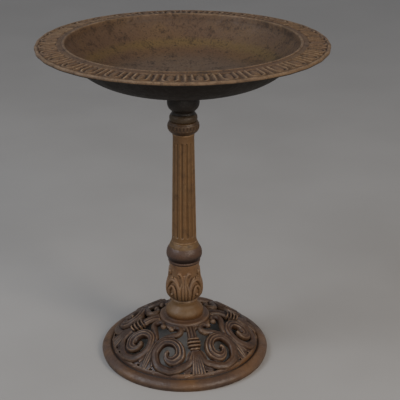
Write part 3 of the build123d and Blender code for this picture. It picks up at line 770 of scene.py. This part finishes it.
def make_bulb(material):
    low, high = box_mm("acanthus_bulb")
    parts = [turned(cored(low[2], high[2], [(r, z) for z, r in bulb_curve()]), 192)]
    quarter = BULB_GAUGE * tau / BULB_LEAVES
    curl = ((2.0, 36.0, 2.8, 3.0), (3.2, 45.0, 3.0, 3.6), (5.0, 52.0, 3.0, 3.8), (8.2, 57.4, 2.8, 3.8),
            (11.8, 57.8, 2.5, 3.6), (12.6, 54.0, 2.2, 3.4), (9.8, 52.2, 1.9, 3.0))
    lobe = ((9.2, 28.0, 3.0, 3.0), (12.6, 37.0, 3.5, 3.8), (17.0, 45.0, 3.4, 4.0), (21.6, 49.6, 2.4, 3.4))
    arches = (((13.4, 9.5, 3.0, 3.0), (14.6, 19.0, 3.5, 4.0), (13.2, 31.0, 3.6, 4.6), (8.8, 39.6, 3.5, 4.8),
               (3.0, 43.8, 3.2, 4.8), (-0.8, 44.4, 2.8, 4.6)),
              ((6.6, 9.5, 2.4, 2.8), (7.6, 17.0, 2.9, 3.6), (6.4, 27.0, 3.0, 4.2), (2.6, 32.8, 2.8, 4.2),
               (-0.6, 33.8, 2.4, 4.0)))
    blade = ((0, 9.5, 9.2, 1.3), (0, 20.0, 10.6, 1.8), (0, 34.0, 9.6, 2.2), (0, 46.0, 8.4, 2.0),
             (0, 55.0, 6.0, 1.4))
    for leaf in range(BULB_LEAVES):
        front = leaf * quarter
        between = front + quarter / 2
        parts.append(sweep(bulb_surface, smooth_curve(shifted(blade, front), 1.2), floor=-2.0, samples=17))
        for share in (-1, -0.33, 0.33, 1):
            rib = ((front + share * 7.2, 9.5, 2.2, 2.4), (front + share * 8.4, 17.0, 2.6, 3.2),
                   (front + share * 7.8, 29.0, 2.5, 3.5), (front + share * 5.0, 39.0, 2.0, 3.1),
                   (front + share * 2.6, 45.0, 1.4, 2.4))
            parts.append(sweep(bulb_surface, smooth_curve(rib, 0.9), floor=-2.0, samples=9))
        for side in (-1, 1):
            for rows in (curl, lobe):
                curve = smooth_curve(shifted(rows, front, side), 0.8)
                parts.append(sweep(bulb_surface, curve, floor=-2.0, samples=11))
            for rows in arches:
                curve = smooth_curve(shifted(rows, between, side), 0.9)
                parts.append(sweep(bulb_surface, curve, floor=-2.0, samples=11))
        parts.append(knob(bulb_surface, between, 19.0, 3.3, 4.0, -1.5))
    points, faces = joined(parts)
    piece = add_piece("acanthus_bulb_casting", points, faces, "pedestal", ["acanthus_bulb"],
                      material)
    cast_together(piece, BULB_VOXEL, BULB_TRIANGLES)
    return piece


# ---- Plain turned castings: bun, torus, beaded collar and bowl seat ---------------------------------------

BEAD_COUNT = 26
BEAD_BAND_HEIGHT = 12.6        # middle of the row of beads, above the collar's foot
BEAD_BAND_HALF_WIDTH = 3.4
BEAD_DEPTH = 1.5               # how deep the gaps between beads are
BEAD_BAND_SINK = 0.25
BUN_PROFILE = ((31.0, 0.0), (31.5, 0.5), (32.4, 2.6), (32.8, 5.4), (32.3, 8.6), (30.8, 11.8), (28.2, 15.0),
               (25.0, 18.0), (22.9, 20.6), (22.2, 23.0), (22.0, 25.4), (22.0, 27.0))
TORUS_PROFILE = ((26.2, 0.0), (26.9, 1.0), (27.4, 2.8), (27.0, 4.6), (26.6, 5.6), (27.4, 6.8), (29.2, 9.8),
                 (30.3, 13.4), (30.4, 17.0), (29.8, 21.2), (28.2, 25.4), (26.2, 28.6), (25.2, 30.0),
                 (25.0, 31.0), (24.0, 33.6), (22.6, 36.6), (21.6, 38.0))
BEAD_PROFILE = ((18.4, 0.0), (18.9, 0.5), (20.4, 1.6), (22.4, 3.2), (24.2, 5.4), (25.6, 8.2), (26.4, 11.9),
                (26.1, 14.8), (25.2, 17.2), (24.2, 18.9), (23.9, 19.8), (23.6, 20.5), (22.9, 21.1),
                (22.4, 21.5))
SEAT_PROFILE = ((21.4, 0.0), (21.9, 0.3), (22.7, 2.6), (22.9, 5.0), (22.6, 7.6), (21.6, 9.8), (20.2, 11.6),
                (18.9, 13.4), (18.5, 15.0), (19.2, 16.8), (21.4, 19.0), (23.8, 21.8), (25.4, 25.0),
                (26.2, 28.6), (26.4, 32.4), (26.2, 36.6), (25.6, 40.0))
POCKET_RADIUS = 12.5
POCKET_DEPTH = 9.0
WEB_THICKNESS = 8.0


def rounded_profile(profile):
    """A profile's points joined by a smooth curve, its first and last points kept."""
    return [tuple(row) for row in smooth_curve(profile, 0.9)]


def make_turned(name, node, outline, material, segments=192, shape=None):
    points, faces = turned(outline, segments, shape)
    return add_piece(name, points, faces, "pedestal", [node], material)


def make_bun(material):
    low, high = box_mm("bun_foot")
    outline = cored(low[2], high[2], rounded_profile(BUN_PROFILE))
    return make_turned("bun_casting", "bun_foot", outline, material)


def make_torus(material):
    low, high = box_mm("torus_collar")
    outline = cored(low[2], high[2], rounded_profile(TORUS_PROFILE))
    return make_turned("torus_casting", "torus_collar", outline, material)


def make_bead_collar(material):
    low, high = box_mm("bead_collar")

    def beads(radius, height, turn):
        band = bump_up(height - (low[2] + BEAD_BAND_HEIGHT), BEAD_BAND_HALF_WIDTH) * (radius > 22)
        row = np.abs(np.cos(turn * BEAD_COUNT / 2)) ** 0.8
        return radius - BEAD_DEPTH * (1 - row) * band - BEAD_BAND_SINK * band, height

    outline = cored(low[2], high[2], rounded_profile(BEAD_PROFILE))
    return make_turned("bead_collar_casting", "bead_collar", outline, material,
                       BEAD_COUNT * 14, beads)


def make_seat(material):
    low, high = box_mm("bowl_seat")
    base, top = low[2], high[2]
    recess_top = base + REGISTER_HEIGHT + REGISTER_RELIEF
    bore = REGISTER_RADIUS + REGISTER_CLEARANCE
    pocket = top - POCKET_DEPTH
    outline = [(ROD_HOLE, pocket), (ROD_HOLE, pocket - WEB_THICKNESS), (CORE_RADIUS, pocket - WEB_THICKNESS),
               (CORE_RADIUS, recess_top), (bore, recess_top), (bore, base)]
    outline += [(radius, base + height) for radius, height in rounded_profile(SEAT_PROFILE)]
    outline += [(24, top), (POCKET_RADIUS + 0.6, top), (POCKET_RADIUS, top - 0.6), (POCKET_RADIUS, pocket)]
    return make_turned("bowl_seat_casting", "bowl_seat", outline, material)


# ---- Fluted shaft ------------------------------------------------------------------------------------

FLUTES = 14
FLUTE_TURN = 4.0
FLUTE_RADIUS = 2.4
FLUTE_OFFSET = 0.5
FLUTE_FOOT = 13.0
FLUTE_NECK = 16.0
SHAFT_FOOT_RADIUS = 20.9
SHAFT_NECK_RADIUS = 17.6
SHAFT_LIP_RADIUS = 18.1
SHAFT_LIP_HEIGHT = 7.0


def make_shaft(material):
    low, high = box_mm("fluted_shaft")
    base, length = low[2], high[2] - low[2] - REGISTER_HEIGHT
    lip_z = length - SHAFT_LIP_HEIGHT
    heights = sorted({*np.linspace(5, FLUTE_FOOT - 4, 4), *np.linspace(FLUTE_FOOT - 3, FLUTE_FOOT + 3, 15),
                      *np.linspace(FLUTE_FOOT + 5, length - FLUTE_NECK - 5, 70),
                      *np.linspace(length - FLUTE_NECK - 3, length - FLUTE_NECK + 3, 15),
                      *np.linspace(length - FLUTE_NECK + 4, lip_z, 4)})
    profile = [(21.6, 0.0), (21.6, 1.9), (21.2, 2.4), (SHAFT_FOOT_RADIUS, 3.6)]
    profile += [(SHAFT_FOOT_RADIUS + (SHAFT_NECK_RADIUS - SHAFT_FOOT_RADIUS) * h / lip_z, h) for h in heights]
    profile += [(SHAFT_NECK_RADIUS + 0.2, lip_z + 2.4), (SHAFT_LIP_RADIUS, length - 2.4),
                (SHAFT_LIP_RADIUS, length - 1), (SHAFT_LIP_RADIUS - 0.3, length)]

    def flutes(radius, height, turn):
        across = (((turn - radians(FLUTE_TURN)) * FLUTES / tau + 0.5) % 1 - 0.5) * tau / FLUTES * radius
        above = height - base
        past = np.clip(above - (length - FLUTE_NECK), 0, None) + np.clip(FLUTE_FOOT - above, 0, None)
        depth = np.sqrt(np.clip(FLUTE_RADIUS ** 2 - across ** 2 - past ** 2, 0, None)) - FLUTE_OFFSET
        return radius - np.clip(depth, 0, None) * (radius > REGISTER_RADIUS + 2), height

    outline = cored(base, high[2], profile)
    return make_turned("fluted_shaft_casting", "fluted_shaft", outline, material,
                       FLUTES * 20, flutes)


# ---- Tie rod, nuts, washers and gasket -------------------------------------------------------------------

THREAD_PITCH = 1.5875
THREAD_DEPTH = 0.85
THREAD_INSET = 0.02            # crest of the thread, inside the rod's CAD radius
THREAD_END = 0.9               # plain length at each end of the rod
THREAD_STATIONS = 4            # rings of points to one turn of thread
NUT_ACROSS_FLATS = 14.2875
NUT_CORNER = NUT_ACROSS_FLATS / 2 / cos(radians(30))
SPLIT_GAP = 12.0


def make_rod(material):
    low, high = box_mm("tie_rod")
    radius = high[0] - THREAD_INSET
    count = int((high[2] - low[2] - 2) / THREAD_PITCH * THREAD_STATIONS)
    outline = [(0, low[2]), (radius - 1, low[2])]
    outline += [(radius, z) for z in np.linspace(low[2] + 1, high[2] - 1, count)]
    outline += [(radius - 1, high[2]), (0, high[2])]

    def thread(radius, height, turn):
        phase = (height / THREAD_PITCH - turn / tau) % 1
        cut = np.clip(1.25 - np.abs(phase - 0.5) * 4, 0, 1)
        from_bottom = np.clip((height - low[2] - THREAD_END) * 4, 0, 1)
        on_thread = from_bottom * np.clip((high[2] - THREAD_END - height) * 4, 0, 1)
        return radius - THREAD_DEPTH * cut * on_thread, height

    points, faces = turned(outline, 20, thread)
    return add_piece("threaded_rod", points, faces, "pedestal", ["tie_rod"], material)


def make_nut(name, node, material):
    low, high = box_mm(node)
    bottom, top = low[2], high[2]
    bore = box_mm("tie_rod")[1][0]
    chamfer = 0.9
    outline = [(bore, bottom + 0.6), (bore + 0.6, bottom), (NUT_CORNER - 1.5, bottom),
               (NUT_CORNER, bottom + chamfer), (NUT_CORNER, (bottom + top) / 2), (NUT_CORNER, top - chamfer),
               (NUT_CORNER - 1.5, top), (bore + 0.6, top), (bore, top - 0.6)]

    def six_flats(radius, height, turn):
        flat = NUT_ACROSS_FLATS / 2 / np.cos(turn % (tau / 6) - tau / 12)
        return np.minimum(radius, flat), height

    return make_turned(name, node, outline, material, 72, six_flats)


def make_washer(name, node, hole, body, material):
    """Flat ring with eased edges."""
    low, high = box_mm(node)
    bottom, top, outside = low[2], high[2], high[0]
    ease = min(0.4, (top - bottom) / 4)
    middle = (hole + outside) / 2
    outline = [(hole, bottom + ease), (hole + ease, bottom), (middle, bottom), (outside - ease, bottom),
               (outside, bottom + ease), (outside, top - ease), (outside - ease, top), (middle, top),
               (hole + ease, top), (hole, top - ease)]
    points, faces = turned(outline, 96)
    return add_piece(name, points, faces, body, [node], material)


def make_lock_washer(material):
    """Split ring, its gap towards +Y."""
    low, high = box_mm("lock_washer")
    bottom, top, outside = low[2], high[2], high[0]
    section = [(ROD_HOLE, bottom), (ROD_HOLE, top), (outside, top), (outside, bottom)]
    turn = np.radians(90 + SPLIT_GAP / 2 + np.linspace(0, 360 - SPLIT_GAP, 72))
    rows = [[(radius * cos(a), radius * sin(a), height) for radius, height in section] for a in turn]
    faces = grid_faces(len(rows), len(section), False)
    faces += [(3, 2, 1, 0), tuple((len(rows) - 1) * 4 + j for j in range(4))]
    return add_piece("split_washer", np.array(rows).reshape(-1, 3), faces, "pedestal", ["lock_washer"],
                     material)


# ---- The floor it stands on ------------------------------------------------------------------------------

FLOOR_HALF_WIDTH = 6.0


def make_floor(material):
    mesh = bpy.data.meshes.new("floor")
    far = FLOOR_HALF_WIDTH
    mesh.from_pydata([(-far, -far, 0), (far, -far, 0), (far, far, 0), (-far, far, 0)], [], [(0, 1, 2, 3)])
    mesh.materials.append(material)
    link(bpy.data.objects.new("floor", mesh))


# ---- The whole bird bath -----------------------------------------------------------------------------

base_bronze = bronze("base_bronze", (0.004, 0.002, 0.002), (0.025, 0.010, 0.006), (0.23, 0.15, 0.09),
                     (0.070, 0.030, 0.011), gloss=(0.36, 0.56), rub_and_highlight_from=0.496, rub_and_highlight_to=0.545)
foot_bronze = bronze("foot_bronze", (0.012, 0.007, 0.006), (0.058, 0.032, 0.022), (0.20, 0.14, 0.09),
                     (0.140, 0.066, 0.022), rub_and_highlight_share=0.5, blotch_share=0.75)
column_bronze = bronze("column_bronze", (0.034, 0.016, 0.006), (0.115, 0.064, 0.025), (0.30, 0.19, 0.095),
                       (0.140, 0.064, 0.020), gloss=(0.42, 0.62),
                       tone_and_painted_light_bands=((0.068, 0.0775, 0.0025, 0.7, (0.098, 0.042, 0.016)),))
# Bulb: the two dark bands are painted shade in the grooves below and above its foot ring.
bulb_bronze = bronze("bulb_bronze", (0.046, 0.019, 0.011), (0.140, 0.085, 0.042), (0.32, 0.21, 0.12),
                     (0.180, 0.082, 0.036), gloss=(0.42, 0.62),
                     tone_and_painted_light_bands=((0.097, 0.0988, 0.0005, 0.8, (0.030, 0.012, 0.006)),
                             (0.1032, 0.1068, 0.0008, 0.9, (0.040, 0.016, 0.008))))
collar_bronze = bronze("collar_bronze", (0.010, 0.005, 0.004), (0.050, 0.028, 0.013), (0.28, 0.18, 0.08),
                       (0.075, 0.036, 0.013))
seat_bronze = bronze("seat_bronze", (0.005, 0.003, 0.002), (0.012, 0.008, 0.005), (0.055, 0.036, 0.020),
                     (0.020, 0.012, 0.006), rub_and_highlight_share=0.5,
                     tone_and_painted_light_bands=((0.42, 0.4345, 0.001, 0.9, (0.058, 0.036, 0.016)),))
# Torus: painted shade on faces that look down and in a dark band round its lower bulge, and a painted
# highlight as the tan band over its top.
torus_bronze = bronze("torus_bronze", (0.016, 0.008, 0.006), (0.066, 0.036, 0.024), (0.20, 0.12, 0.07),
                      (0.105, 0.050, 0.022), painted_underside_shade=(0.020, 0.010, 0.007),
                      tone_and_painted_light_bands=((0.2005, 0.6, 0.0012, 0.9, (0.130, 0.074, 0.026)),
                              (0.1770, 0.1870, 0.0035, 0.75, (0.020, 0.011, 0.008))))
# Bowl: painted shade on faces that look down; its two bands are the basin's grey-brown lower tone and its
# olive patina.
bowl_bronze = bronze("bowl_bronze", (0.015, 0.008, 0.005), (0.088, 0.049, 0.026), (0.28, 0.19, 0.11),
                     (0.116, 0.067, 0.025), rub_and_highlight_share=0.9, gloss=(0.58, 0.76), speckle=0.8,
                     painted_underside_shade=(0.010, 0.006, 0.003),
                     tone_and_painted_light_bands=((0.4, 0.498, 0.006, 0.6, (0.100, 0.074, 0.055)),
                             (0.508, 0.518, 0.005, 0.5, (0.122, 0.082, 0.022))))
zinc_steel = zinc("zinc_steel")
gasket_rubber = rubber("gasket_rubber")

make_foot_ring(foot_bronze)
make_scrollwork(base_bronze)
make_base_hub(foot_bronze)
make_bun(column_bronze)
make_bulb(bulb_bronze)
make_torus(torus_bronze)
make_shaft(column_bronze)
make_bead_collar(collar_bronze)
make_seat(seat_bronze)
make_bowl(bowl_bronze)
make_washer("rubber_gasket", "bowl_gasket", 5.4, "gasket", gasket_rubber)
make_rod(zinc_steel)
make_nut("hex_nut_base", "base_nut", zinc_steel)
make_nut("hex_nut_seat", "seat_nut", zinc_steel)
make_washer("flat_washer_base", "base_washer", ROD_HOLE, "pedestal", zinc_steel)
make_washer("flat_washer_seat", "seat_washer", ROD_HOLE, "pedestal", zinc_steel)
make_lock_washer(zinc_steel)

make_camera()
make_world((0.78, 0.80, 0.84), 0.40)
make_light("window_left", (-1.6, -0.6, 1.7), (0, 0, 0.3), 1.2, 27, (0.86, 0.92, 1.0))
make_light("room_right", (1.5, -1.4, 1.5), (0, 0, 0.25), 0.9, 29, (1.0, 0.90, 0.78))
make_light("fill_front", (0.2, -2.4, 0.9), (0, 0, 0.2), 1.4, 10, (1.0, 0.95, 0.88))

make_floor(pale_floor())
